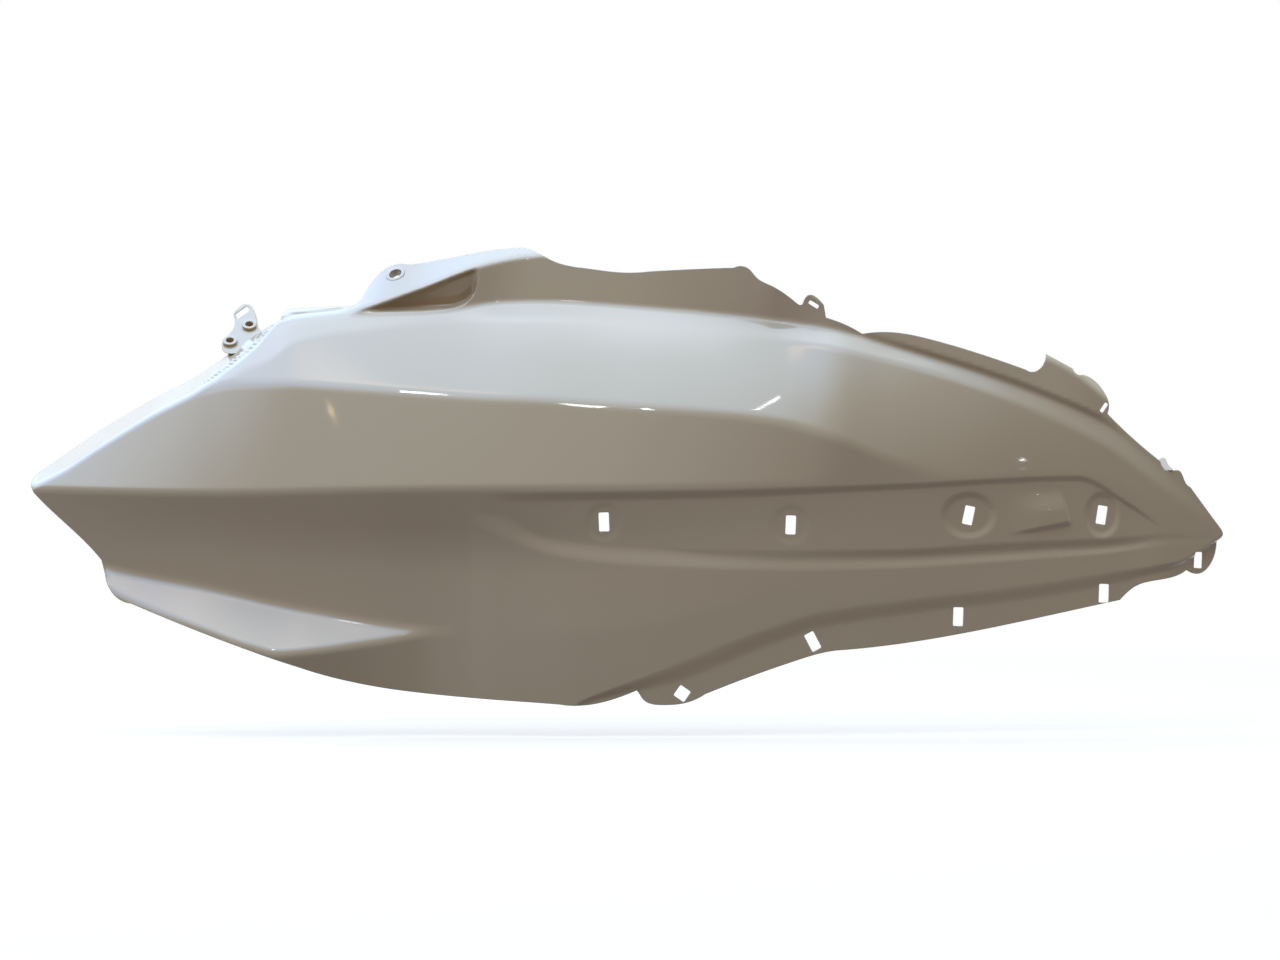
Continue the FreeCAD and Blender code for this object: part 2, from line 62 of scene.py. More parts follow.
class Line:
    """Cubic spans through the points. The slope at a point is the harmonic mean of the slopes on its
    two sides, weighted by their lengths, and zero where the line turns back."""

    def __init__(self, *points):
        self.x, self.y = np.array(points, float).T
        run = np.diff(self.x)
        rise = np.diff(self.y) / run
        before, after = rise[:-1], rise[1:]
        same = before * after > 0
        near, far = 2 * run[1:] + run[:-1], run[1:] + 2 * run[:-1]
        mean = (near + far) / (near / np.where(same, before, 1) + far / np.where(same, after, 1))
        self.slope = np.concatenate([rise[:1], np.where(same, mean, 0), rise[-1:]])

    def __call__(self, x):
        x = np.clip(x, self.x[0], self.x[-1])
        i = np.clip(np.searchsorted(self.x, x, side="right") - 1, 0, len(self.x) - 2)
        h = self.x[i + 1] - self.x[i]
        t = (x - self.x[i]) / h
        ends = (1 + 2 * t) * (1 - t) ** 2 * self.y[i] + t * t * (3 - 2 * t) * self.y[i + 1]
        return ends + t * (1 - t) * h * ((1 - t) * self.slope[i] - t * self.slope[i + 1])


# %% Heights of the lines that shape the skin, in mm, at distances from the tip
MIDDLE, REAR_END = 390, 776
FOLD = Line((0, 1.5), (17, 10), (43, 27), (75, 46.5), (107, 63.5), (141, 90.5), (157, 108.5),
            (201, 115), (247, 130), (286, 145), (312, 151), (330, 153), (364, 156), (450, 154),
            (480, 140), (530, 112), (559, 109), (598, 101), (640, 89), (655, 84.5), (672, 75.5),
            (690, 62), (710, 47), (776, -8))
FOOT = Line((100, 60), (132, 80.5), (158, 106), (202, 113), (260, 116), (300, 121.5), (325, 122),
            (396, 118), (462, 112), (513, 104), (559, 90.5), (611, 74.3), (664, 55), (691, 43),
            (717, 24), (776, -24))
SHOULDER = Line((100, 57), (133, 75), (152, 83), (165, 93), (207, 101.5), (289, 110), (325, 110),
                (429, 102), (494, 94), (558, 81), (623, 59.5), (689, 30.5), (737, -3), (776, -28))
UPPER = Line((100, 55), (110, 63), (133, 67.5), (153, 67.5), (205, 64.5), (288, 58.5), (326, 57),
             (364, 54), (402, 51.5), (441, 48.5), (479, 43), (500, 37), (520, 31), (550, 19), (576, 12.5),
             (598, 10.5), (622, 10), (672, 13), (709, 4.5), (776, -26))
BELT = Line((0, 0), (109, -2.5), (238, 0), (365, 1), (492, 3), (622, 8.5), (672, 10.5), (709, 0.5),
            (734, -11), (776, -27))
CREASE = Line((0, -12), (30, -42), (45, -50), (56, -53), (108, -63), (172, -77), (262, -90),
              (339, -91), (364, -90), (390, -87), (428, -79), (493, -66), (558, -64), (776, -34))
KEEL = Line((0, -16), (30, -50), (50, -66), (77, -78), (110, -90), (142, -101), (160, -105),
            (174, -104), (224, -97.5), (262, -92), (301, -96.5), (339, -100), (390, -94), (428, -84),
            (493, -70), (623, -62), (776, -36))
CHANNEL_TOP = Line((280, -2), (428, 0), (557, 4), (674, 9), (709, -9), (733, -24), (776, -34))
CHANNEL_TOP_FOOT = Line((280, -9), (428, -7), (557, -1), (673, 4.5), (710, -13), (733, -27), (776, -38))
CHANNEL_LOW_FOOT = Line((280, -12), (304, -15), (326, -27), (364, -33), (402, -36), (428, -38.5),
                        (557, -38), (623, -34), (710, -30.5), (734, -28.5), (776, -30))
GROOVE = Line((280, -14), (304, -17), (326, -29), (364, -35), (402, -38), (428, -41), (454, -43.5),
              (492, -45.4), (557, -44.4), (597, -42.7), (623, -41.5), (656, -39.4), (690, -38), (710, -36),
              (734, -33), (776, -33))
CHANNEL_LOW = Line((280, -22), (304, -33), (339, -44.5), (396, -50.5), (493, -53), (557, -51.8),
                   (623, -47.6), (690, -43), (734, -38), (776, -36))
STEP_START = Line((0, -22), (30, -60), (77, -96), (142, -117), (249, -143), (300, -148), (340, -142),
                  (355, -134), (390, -120.5), (467, -90), (506, -78), (558, -71), (623, -64),
                  (723, -50), (744, -47), (768, -35), (776, -30))
STEP_END = Line((0, -30), (77, -104), (249, -151), (300, -156), (340, -148), (355, -138), (390, -130),
                (416, -124), (467, -104), (506, -91), (558, -82.5), (656, -70.5), (724, -57),
                (744, -51), (768, -37), (776, -32))
print("fold above the belt at the middle:", round(float(FOLD(MIDDLE) - BELT(MIDDLE)), 1), "mm")

# %% Depth of the belt, tilts of the facets in degrees, and depths of what is sunk
BELT_DEPTH = Line((0, 31), (57, 19), (109, 11), (174, 4), (238, 0), (301, 0), (365, 3), (428, 8),
                  (492, 15), (557, 25), (622, 39), (672, 53), (709, 66), (734, 76), (758, 89), (776, 100))
FLANGE_TILT = Line((0, 64), (190, 64), (205, 56), (231, 46), (250, 50), (288, 54), (330, 55), (776, 50))
STRIP_TILT = Line((0, 22), (103, 20), (117, 43), (199, 43), (210, 0), (288, -3), (320, 4), (365, 3),
                  (430, -5), (462, -14), (480, -23), (500, -19), (534, -4), (575, 1), (622, 4), (655, 9),
                  (689, 5), (776, 5))
BAND_TILT = Line((0, 22), (103, 20), (117, 40), (263, 41), (301, 46), (365, 44.5), (428, 42),
                 (470, 40.5), (510, 41.5), (557, 43), (593, 38), (631, 32), (655, 29), (689, 25),
                 (716, 19), (744, 12), (776, 5))
UPPER_TILT = Line((0, 22), (103, 18), (117, 38), (174, 37), (250, 37.5), (301, 38.5), (428, 37.5),
                  (479, 32.5), (495, 28), (517, 21.5), (557, 15.5), (593, 10), (631, 5.5), (689, 4),
                  (776, 5))
CROWN = Line((180, 0), (250, 1.5), (330, 2.5), (403, 4), (480, 4), (517, 5), (557, 7), (593, 6), (650, 4),
             (709, 0), (776, 0))
MIDDLE_TILT = Line((0, 22), (44, 20), (109, 16), (174, 13.5), (238, 14.5), (301, 13.5), (365, 12.5),
                   (403, 10), (441, 7), (492, 1), (524, -7), (557, -6), (589, 2), (612, 5), (631, 5.5),
                   (689, 4), (776, 5))
BELLY_TILT = Line((0, -20), (109, -24), (238, -23), (301, -20), (365, -13), (492, -8), (622, -4),
                  (689, 0), (776, 4))
LOWER_TILT = Line((0, -16), (47, -14), (174, -10), (301, -4), (350, -2), (428, -2), (557, -3.5), (689, 0),
                  (776, 4))
LENS_TILT = Line((0, -12), (43, -12), (47, 38.5), (98, 38.5), (136, 38), (174, 38), (212, 36.5), (237, 35),
                 (263, 13), (276, -5), (428, -5), (776, 4))
UNDER_TILT = Line((0, -12), (142, -16), (174, -19), (238, -11), (269, -7), (301, -5), (557, -4), (689, 0),
                  (776, 4))
CHANNEL_TOP_DEPTH = Line((290, 0), (326, 1.4), (377, 2.1), (492, 2), (557, 1.7), (655, 1.5), (709, 1.6),
                         (734, 0), (776, 0))
GROOVE_DEPTH = Line((400, 0), (454, 0.5), (500, 1.1), (557, 1.6), (623, 1.7), (690, 1.6), (734, 0.3),
                    (776, 0))
CHANNEL_LOW_RISE = Line((282, 0), (301, 1.9), (326, 2.8), (350, 3.2), (402, 3), (441, 2.1), (492, 1.2),
                        (530, 1.3), (557, 1.6), (623, 1.5), (690, 1.4), (734, 0.3), (776, 0))
STEP_DEPTH = Line((330, 0), (360, 1.6), (390, 2.4), (428, 2.4), (492, 2.3), (557, 2.1), (622, 1.9),
                  (689, 1.9), (723, 2.1), (744, 3), (755, 5), (768, 5), (776, 3))
POCKET_DEPTH = Line((208, 0), (228, 9), (262, 11.5), (280, 11), (286, 0), (776, 0))
POCKET_CORNER = Line((267, 0), (275, 1.5), (280, 5), (283, 10), (286, 24))
VALLEY_RISE = Line((510, 0), (545, 1.6), (590, 2.6), (680, 2.6), (712, 0), (776, 0))
LEDGE_RISE = Line((102, 0), (114, 2), (190, 2), (204, 0), (776, 0))
print("deepest at the rear end:", float(BELT_DEPTH(REAR_END)), "mm behind the foremost plane")

# %% Small sizes, in mm
WALL = 2.5
BELT_ROUND, FACET_ROUND, SHOULDER_ROUND, FOLD_ROUND, KEEL_ROUND, BELLY_ROUND = 7, 9, 6, 5, 7, 30
VALLEY_WIDTH, LEDGE_GAP, LEDGE_EDGE, POCKET_EDGE = 5.0, 2.6, 1.6, 3.5
# How far down from the belt to the crease the belly folds, and how much shallower the pocket's top is
BELLY_SHARE, POCKET_LEAN = 0.45, 0.8
DIMPLE, FAINT_DIMPLE, PAD_RISE, PAD_EDGE = 1.6, 0.5, 2.2, 3.2
# Where the soft wall of a dimple starts and how wide it is, as shares of the dimple's half size
DIMPLE_RIM, DIMPLE_WALL = 1.15, 0.4
# Middle, half width, half height and depth of each dimple
DIMPLES = [(367, -21, 11, 12, FAINT_DIMPLE), (486.5, -23, 12, 12, FAINT_DIMPLE),
           (602, -17, 17, 14, DIMPLE), (690.5, -17, 11, 14, DIMPLE)]
PAD_SIDE_TOP, PAD_SIDE_FOOT = (665, -2), (671, -24)
PAD_FRONT, PAD_FADE, PAD_TOP_FADE = 625, 30, 15
PAD_BOTTOM = Line((600, -36), (633, -30.5), (671, -23.5), (700, -18))
PAD_TOP = Line((600, -3), (665, 0), (700, 2))
print("dimples", len(DIMPLES), "and a pad that stands", PAD_RISE, "mm out")

# %% [markdown]
# ## The skin
# The skin is a function of two parameters, the distance from the tip and the height. It starts at the
# belt and leans back by the tilt of each facet. Where two facets meet, the slope changes over a short
# stretch, which rounds the crease. Channel, step, pocket, dimples and pad are soft steps on top.

# %% Depth of the skin


def slope(tilt, x):
    """Depth gained for each millimetre of height: the tangent of the tilt."""
    return np.tan(np.radians(tilt(x)))


def bend(t, width):
    """Zero below a crease and t above it, with a parabola over the width between."""
    middle = (t + width / 2) ** 2 / (2 * width)
    return np.where(t > width / 2, t, np.where(t < -width / 2, 0, middle))


def smooth(t):
    """A soft step from 0 to 1: three t squared less two t cubed."""
    t = np.clip(t, 0, 1)
    return t * t * (3 - 2 * t)


def depth(x, z):
    """Depth of the outer skin: the belt's depth, plus slope times height, plus each crease's change of
    slope times the height beyond it, plus the soft steps."""
    belt = BELT(x)
    middle, band = slope(MIDDLE_TILT, x), slope(BAND_TILT, x)
    foot = np.tan(np.radians(UPPER_TILT(x) - CROWN(x)))
    top = np.tan(np.radians(UPPER_TILT(x) + CROWN(x)))
    strip, belly, lower = slope(STRIP_TILT, x), slope(BELLY_TILT, x), slope(LOWER_TILT, x)
    lens = slope(LENS_TILT, x)
    y = BELT_DEPTH(x) + middle * (z - belt)
    y += (foot - middle) * bend(z - UPPER(x), FACET_ROUND)
    crown_width = np.maximum(SHOULDER(x) - UPPER(x), FACET_ROUND)
    y += (top - foot) * bend(z - (UPPER(x) + SHOULDER(x)) / 2, crown_width)
    y += (band - top) * bend(z - SHOULDER(x), SHOULDER_ROUND)
    y += (strip - band) * bend(z - FOOT(x), FOLD_ROUND)
    y += (slope(FLANGE_TILT, x) - strip) * bend(z - FOLD(x), FOLD_ROUND)
    y -= (belly - middle) * bend(belt - z, BELT_ROUND)
    y -= (lower - belly) * bend(belt + BELLY_SHARE * (CREASE(x) - belt) - z, BELLY_ROUND)
    y -= (lens - lower) * bend(CREASE(x) - z, KEEL_ROUND)
    y -= (slope(UNDER_TILT, x) - lens) * bend(KEEL(x) - z, KEEL_ROUND)
    for start, end, deep in ((CHANNEL_TOP, CHANNEL_TOP_FOOT, CHANNEL_TOP_DEPTH(x)),
                             (CHANNEL_LOW_FOOT, GROOVE, GROOVE_DEPTH(x)),
                             (GROOVE, CHANNEL_LOW, -CHANNEL_LOW_RISE(x)),
                             (STEP_START, STEP_END, STEP_DEPTH(x))):
        y += deep * smooth((start(x) - z) / (start(x) - end(x)))
    lean = 1 - POCKET_LEAN * (z - FOOT(x)) / np.maximum(FOLD(x) - FOOT(x), POCKET_EDGE)
    y += (POCKET_DEPTH(x) * lean * smooth((z - FOOT(x) - POCKET_CORNER(x)) / POCKET_EDGE)
          * smooth((FOLD(x) - z) / POCKET_EDGE))
    y -= VALLEY_RISE(x) * smooth((z - FOOT(x)) / VALLEY_WIDTH)
    y -= LEDGE_RISE(x) * smooth((z - FOLD(x) - LEDGE_GAP) / LEDGE_EDGE)
    return y + local_depth(x, z)


def local_depth(x, z):
    """The dimples are soft steps in the distance from their middles, and the pad is a product of four
    soft steps, one for each of its sides."""
    y = np.zeros(np.broadcast(x, z).shape)
    for cx, cz, half_width, half_height, deep in DIMPLES:
        away = np.hypot((x - cx) / half_width, (z - cz) / half_height)
        y += deep * smooth((DIMPLE_RIM - away) / DIMPLE_WALL)
    (x0, z0), (x1, z1) = PAD_SIDE_TOP, PAD_SIDE_FOOT
    rear = x0 + (x1 - x0) * (z - z0) / (z1 - z0)
    return y - (PAD_RISE * smooth((rear - x) / PAD_EDGE) * smooth((z - PAD_BOTTOM(x)) / PAD_EDGE)
                * smooth((PAD_TOP(x) - z) / PAD_TOP_FADE) * smooth((x - PAD_FRONT) / PAD_FADE))


# %% Slope of the skin, and the hidden skin behind it
# How far off the points are that give a slope, in mm
SLOPE_REACH = 0.75


def gradient(x, z, reach=SLOPE_REACH, skin=depth):
    """How fast a skin's depth changes along and up, from points a little way off on both sides."""
    along = (skin(x + reach, z) - skin(x - reach, z)) / (2 * reach)
    up = (skin(x, z + reach) - skin(x, z - reach)) / (2 * reach)
    return along, up


def inner_depth(x, z):
    """Depth of the hidden skin: one wall behind, longer where the skin leans."""
    along, up = gradient(x, z)
    return depth(x, z) + WALL * np.sqrt(1 + along ** 2 + up ** 2)


print("shoulder at the middle:", float(depth(MIDDLE, SHOULDER(MIDDLE)).round(1)), "mm deep outside and",
      float(inner_depth(MIDDLE, SHOULDER(MIDDLE)).round(1)), "mm inside")

# %% The origin, at the ear's screw hole
EAR_PLACE = (230, 140.5)
EAR_HOLE, EAR_PAD, EAR_PAD_RISE, EAR_BOSS = 8.0, 13.0, 0.3, 5.5


def unit(v):
    """A vector divided by its length."""
    return v / np.linalg.norm(v, axis=-1, keepdims=True)


ear_along, ear_up = gradient(*EAR_PLACE, reach=EAR_PAD / 4)
ear_axis = unit(np.array([ear_along, -1.0, ear_up]))
ear_skin = np.array([EAR_PLACE[0], float(depth(*EAR_PLACE)), EAR_PLACE[1]])
ORIGIN = ear_skin + ear_axis * EAR_PAD_RISE
print("ear screw", ORIGIN.round(3), "axis", ear_axis.round(4))

# %% [markdown]
# ## The outline
# The sheet is trimmed along an outline of smooth runs that meet at corners. Each run is a cubic
# spline, sampled about every two millimetres, and the slots are rounded rectangles.

# %% Runs of the outline, clockwise from the tip, in mm
OUTLINE = [
    [(-2, 2), (-2, 7), (4, 13)],
    [(4, 13), (27, 30), (72, 57.5), (105, 75), (119, 85)],
    [(119, 85), (141, 101), (156, 109.5)],
    [(156, 109.5), (158, 115), (165, 118)],
    [(165, 118), (198, 119)],
    [(198, 119), (206, 121), (213, 133), (220, 142), (229, 147), (238, 147)],
    [(238, 147), (262, 150.5), (303, 157.5), (313, 158)],
    [(313, 158), (321, 155.5), (333, 149), (356, 144), (377, 141.5), (396, 142)],
    [(396, 142), (429, 143.5), (451, 144)],
    [(451, 144), (455, 145), (460, 143.5), (466, 137), (475, 132), (484, 126.5), (491, 121)],
    [(491, 121), (495, 119.5), (496, 122)],
    [(496, 122), (498, 125), (509, 119)],
    [(509, 119), (510.5, 111)],
    [(510.5, 111), (518, 108.5), (534, 100.5)],
    [(534, 100.5), (559, 101), (578, 97), (624, 83), (640, 77.5)],
    [(640, 77.5), (647, 76.5), (652, 81), (654, 88)],
    [(654, 88), (672, 78.5)],
    [(672, 78.5), (675, 74.5), (679, 74.5)],
    [(679, 74.5), (687, 71), (693, 64), (696, 56), (695, 49)],
    [(695, 49), (710, 35), (731, 18)],
    [(731, 18), (739, 12), (744, 12), (748, 5), (752, 1)],
    [(752, 1), (766, -17), (774, -27)],
    [(774, -27), (775, -30), (771, -35)],
    [(771, -35), (770, -42), (767, -49), (758, -56), (753, -55.5), (749, -53.5)],
    [(749, -53.5), (734, -59), (713, -64), (707, -68.5), (703, -72.5)],
    [(703, -72.5), (637, -86), (571, -98), (516, -104)],
    [(516, -104), (503, -106.5), (493, -109.5), (454, -123), (432, -131.5)],
    [(432, -131.5), (420, -137), (405, -138.5), (394, -136.5), (390, -132)],
    [(390, -132), (388, -129)],
    [(388, -129), (372, -135), (355, -138.5), (339, -138)],
    [(339, -138), (281, -134), (217, -126), (173, -114)],
    [(173, -114), (110, -91.5), (64, -73.5)],
    [(64, -73.5), (52, -67.5), (46, -57), (43, -46)],
    [(43, -46), (38, -40), (17, -19.5), (0, -2.5)],
    [(0, -2.5), (-2, 2)],
]
# Middle of each slot, and its lean in degrees
FACE_SLOTS = [(367, -21, -2), (486.5, -23, 2), (602, -17, 12), (690.5, -17, 9)]
FLANGE_SLOTS = [(501, -98, -28), (595.5, -82.5, 2), (692, -68, 2)]
SLOT_WIDTH, SLOT_HEIGHT, SLOT_CORNER = 6.5, 12.0, 0.8
CORNER_SLOT, CORNER_SLOT_SIZE = (417, -131, 35), 8.0
END_SLOT, END_SLOT_WIDTH, END_SLOT_HEIGHT = (757.5, -47, 3), 5.5, 10.5
CATCH_EYES, EYE_WIDTH, EYE_LENGTH = [(502.5, 119.5, -58), (692.5, 53, 35)], 2.4, 7.0
print("runs of the outline", len(OUTLINE))

# %% Curves for the outline and the slots
RIM_STEP = 2.0


def end_slope(t, p, at):
    """Slope, at one place, of the polynomial through a few points."""
    return [np.polyval(np.polyder(np.polyfit(t, column, len(t) - 1)), at) for column in p.T]


def spline(points, spacing):
    """A cubic spline through the points by the distance between them. Its end slopes come from the
    polynomials through the first and the last four points, or fewer. The last sample is left to the
    next run."""
    p = np.array(points, float)
    t = np.concatenate([[0], np.cumsum(np.linalg.norm(np.diff(p, axis=0), axis=1))])
    n = len(p)
    count = max(1, round(t[-1] / spacing))
    if n == 2:
        return p[0] + (p[1] - p[0]) * np.arange(count)[:, None] / count
    k = min(4, n)
    first, last = end_slope(t[:k], p[:k], t[0]), end_slope(t[-k:], p[-k:], t[-1])
    h = np.diff(t)
    m = np.zeros((n, n))
    m[0, 0] = m[-1, -1] = 1
    i = np.arange(1, n - 1)
    m[i, i - 1], m[i, i], m[i, i + 1] = h[1:], 2 * (h[:-1] + h[1:]), h[:-1]
    rise = np.diff(p, axis=0) / h[:, None]
    right = np.vstack([first, 3 * (h[1:, None] * rise[:-1] + h[:-1, None] * rise[1:]), last])
    d = np.linalg.solve(m, right)
    s = t[-1] * np.arange(count) / count
    j = np.clip(np.searchsorted(t, s, side="right") - 1, 0, n - 2)
    u = ((s - t[j]) / h[j])[:, None]
    ends = (1 + 2 * u) * (1 - u) ** 2 * p[j] + u * u * (3 - 2 * u) * p[j + 1]
    return ends + u * (1 - u) * h[j][:, None] * ((1 - u) * d[j] - u * d[j + 1])


def slot_loop(x, z, width, height, lean, corner=SLOT_CORNER, steps=5):
    """A rounded rectangle, its four corners as quarter circles, turned by its lean."""
    w, h = width / 2 - corner, height / 2 - corner
    quarter = np.linspace(0, math.pi / 2, steps)
    a = (np.arange(4)[:, None] * math.pi / 2 + quarter).ravel()
    middle = np.repeat([(w, h), (-w, h), (-w, -h), (w, -h)], steps, axis=0)
    p = middle + corner * np.column_stack([np.cos(a), np.sin(a)])
    turn = math.radians(-lean)
    return p @ np.array([[math.cos(turn), math.sin(turn)], [-math.sin(turn), math.cos(turn)]]) + (x, z)


def divide(loop, longest=RIM_STEP):
    """The loop with points added on its long pieces, evenly, so that none is longer than this."""
    run = np.roll(loop, -1, axis=0) - loop
    count = np.ceil(np.linalg.norm(run, axis=1) / longest).astype(int)
    first = np.repeat(np.cumsum(count) - count, count)
    share = (np.arange(count.sum()) - first) / np.repeat(count, count)
    return np.repeat(loop, count, axis=0) + np.repeat(run, count, axis=0) * share[:, None]


def area(loop):
    """Twice the signed area of a loop: more than zero where it runs anticlockwise."""
    return float(np.sum(loop[:, 0] * np.roll(loop[:, 1], -1) - np.roll(loop[:, 0], -1) * loop[:, 1]))


def outward(loop):
    """Unit vectors to the right of the path at each point, from its two neighbours. On a loop that
    runs anticlockwise they point out of it."""
    before = unit(loop - np.roll(loop, 1, axis=0))
    after = unit(np.roll(loop, -1, axis=0) - loop)
    both = unit(before + after)
    return np.column_stack([both[:, 1], -both[:, 0]])


rim = np.vstack([spline(run, RIM_STEP) for run in OUTLINE])
slots = [slot_loop(x, z, SLOT_WIDTH, SLOT_HEIGHT, lean) for x, z, lean in FACE_SLOTS + FLANGE_SLOTS]
slots.append(slot_loop(*CORNER_SLOT[:2], CORNER_SLOT_SIZE, CORNER_SLOT_SIZE, CORNER_SLOT[2]))
slots.append(slot_loop(*END_SLOT[:2], END_SLOT_WIDTH, END_SLOT_HEIGHT, END_SLOT[2]))
slots += [slot_loop(x, z, EYE_WIDTH, EYE_LENGTH, lean) for x, z, lean in CATCH_EYES]
slots = [divide(loop) for loop in slots]
print("outline points", len(rim), "slots", len(slots))

# %% [markdown]
# ## A moulded wall
# A trimmed sheet could be cut with booleans, but they leave thin triangles that spoil a reflection.
# Instead the points of the sheet and of its edges are triangulated flat, in the plane of the outline,
# and then lifted onto the front and the back skin. The edge is rounded by one narrow strip.

# %% Rows and columns of the sheet
# Width of a column in mm, and how many rows there are
COLUMN, ROWS = 2.4, 178
# The crowd of rows at a crease: how much denser it is, its reach in mm, and the steps it is summed in
CROWD, CROWD_REACH, CROWD_STEPS = 1.6, 4.5, 700
# How far the grid reaches past the outline
MARGIN = 3
CREASES = (FOLD, FOOT, SHOULDER, UPPER, BELT, CHANNEL_TOP, CHANNEL_TOP_FOOT, CHANNEL_LOW_FOOT, CHANNEL_LOW,
           CREASE, KEEL, STEP_START, STEP_END)
# Middle, half width and half height of the finer patches: two dimples, the pad and the pocket's corner
PATCHES = [(602, -17, 20, 17), (690.5, -17, 14, 17), (649, -17, 31, 20), (280, 128, 12, 20)]
PATCH_STEP = 1.1
# Points tested at a time, so that the arrays stay small
CHUNK = 4000


def inside(points, loop):
    """True where a point lies in the loop: a line to the right crosses it an odd number of times."""
    a, b = loop, np.roll(loop, -1, axis=0)
    found = np.zeros(len(points), bool)
    for part in np.array_split(np.arange(len(points)), max(1, len(points) // CHUNK)):
        x, z = points[part, 0][:, None], points[part, 1][:, None]
        spans = (a[:, 1] > z) != (b[:, 1] > z)
        run = np.where(b[:, 1] == a[:, 1], 1, b[:, 1] - a[:, 1])
        crossing = a[:, 0] + (z - a[:, 1]) * (b[:, 0] - a[:, 0]) / run
        found[part] = (spans & (x < crossing)).sum(axis=1) % 2 == 1
    return found


def distance(points, loop):
    """Shortest distance from each point to the loop's straight pieces."""
    a, run = loop, np.roll(loop, -1, axis=0) - loop
    best = np.empty(len(points))
    for part in np.array_split(np.arange(len(points)), max(1, len(points) // CHUNK)):
        gap = points[part][:, None, :] - a
        t = np.clip((gap * run).sum(-1) / np.maximum((run * run).sum(-1), 1e-9), 0, 1)
        best[part] = np.linalg.norm(gap - t[..., None] * run, axis=-1).min(axis=1)
    return best


def sheet_points(loop):
    """A grid over the loop. Its columns are even, and its rows crowd together near the creases: row
    heights are equal steps of a running sum that grows faster there. Small forms get a patch of
    finer, even grid."""
    x = np.arange(loop[:, 0].min() + COLUMN / 2, loop[:, 0].max(), COLUMN)
    fine = np.linspace(loop[:, 1].min() - MARGIN, loop[:, 1].max() + MARGIN, CROWD_STEPS)
    weight = np.ones((len(x), len(fine)))
    for line in CREASES:
        weight += CROWD * np.exp(-((fine[None, :] - line(x)[:, None]) / CROWD_REACH) ** 2)
    total = np.cumsum(weight, axis=1)
    steps = (np.arange(ROWS) + 0.5) / ROWS
    z = np.vstack([np.interp(steps * row[-1], row, fine) for row in total])
    points = np.column_stack([np.repeat(x, ROWS), z.ravel()])
    for cx, cz, half_width, half_height in PATCHES:
        away = np.abs(points - (cx, cz)) - (half_width, half_height)
        points = points[away.max(axis=1) > PATCH_STEP / 2]
        x, z = np.meshgrid(np.arange(cx - half_width, cx + half_width, PATCH_STEP),
                           np.arange(cz - half_height, cz + half_height, PATCH_STEP))
        points = np.vstack([points, np.column_stack([x.ravel(), z.ravel()])])
    return points


sheet = sheet_points(rim)
print("sheet grid", len(sheet), "points")

# %% Triangulate a wall and lift it
# The edge's radius, how far the grid stays from it, the reach of the slopes that give the normals,
# how near two points are before they count as one, and the area of a sliver
EDGE, EDGE_GAP, NORMAL_REACH, TOLERANCE, SLIVER = 0.45, 0.8, 0.4, 1e-6, 1e-6


def loop_edges(loops):
    """Pairs of point numbers along each loop, with the loops numbered one after the other."""
    sizes = [len(loop) for loop in loops]
    starts = np.cumsum([0] + sizes[:-1])
    return np.vstack([np.column_stack([s + np.arange(n), s + (np.arange(n) + 1) % n])
                      for s, n in zip(starts, sizes)])


def in_sheet(points, loops):
    """True where a point lies inside the first loop and outside the others, which are holes."""
    found = inside(points, loops[0])
    for hole in loops[1:]:
        found &= ~inside(points, hole)
    return found


def flat_triangles(flat, loops, edges):
    """Delaunay triangles of the flat points, with the edges kept, inside the sheet alone. A sliver
    of three points in a line, as on a straight edge, is left out."""
    made = delaunay_2d_cdt(flat.tolist(), edges.tolist(), [], 0, TOLERANCE)
    source = np.array([o[0] if o else -1 for o in made[3]])
    triangles = source[np.array(made[2])]
    triangles = triangles[(triangles >= 0).all(axis=1)]
    a, b, c = np.swapaxes(flat[triangles], 0, 1)
    doubled = (b - a)[:, 0] * (c - a)[:, 1] - (b - a)[:, 1] * (c - a)[:, 0]
    return triangles[(np.abs(doubled) > SLIVER) & in_sheet(flat[triangles].mean(axis=1), loops)]


def wall_side(skin, sign, x, z, ways):
    """Points and normals of a wall's front, with sign 1, or of its back, with sign -1. Points lie at
    the skin's depth, and the rim's, which come first, are stepped in by the edge radius. Normals come
    from the skin's slopes, and the rim's point out of the edge."""
    rims = len(ways)
    points = np.column_stack([x, skin(x, z) + sign * EDGE * (np.arange(len(x)) < rims), z])
    along, up = gradient(x, z, NORMAL_REACH, skin)
    normals = sign * unit(np.column_stack([along, -np.ones_like(x), up]))
    normals[:rims] = np.column_stack([ways[:, 0], np.zeros(rims), ways[:, 1]])
    return points, normals


def wall(loop, holes, front, back, grid):
    """A wall between two depth functions. Its flat points are the loop and the holes, the same loops
    moved in by the edge radius, and the grid points clear of both. They are triangulated once and
    lifted to the front and to the back, and a strip of faces joins the two."""
    loops = [loop if area(loop) > 0 else loop[::-1]] + [h if area(h) < 0 else h[::-1] for h in holes]
    sides = [outward(p) for p in loops]
    insets = [p - s * EDGE for p, s in zip(loops, sides)]
    keep = in_sheet(grid, loops)
    for p in loops:
        keep &= distance(grid, p) > EDGE + EDGE_GAP
    flat = np.vstack(loops + insets + [grid[keep]])
    edges = loop_edges(loops)
    triangles = flat_triangles(flat, loops, edges)
    both = [wall_side(skin, sign, *flat.T, np.vstack(sides)) for skin, sign in ((front, 1), (back, -1))]
    points, normals = (np.vstack(rows) for rows in zip(*both))
    count = len(flat)
    a, b = edges.T
    strip = np.vstack([np.column_stack([a, b + count, b]), np.column_stack([a, a + count, b + count])])
    faces = np.vstack([triangles, triangles[:, ::-1] + count, strip])
    hidden = np.zeros(len(faces), bool)
    hidden[len(triangles):2 * len(triangles)] = True
    return points, normals, faces, hidden


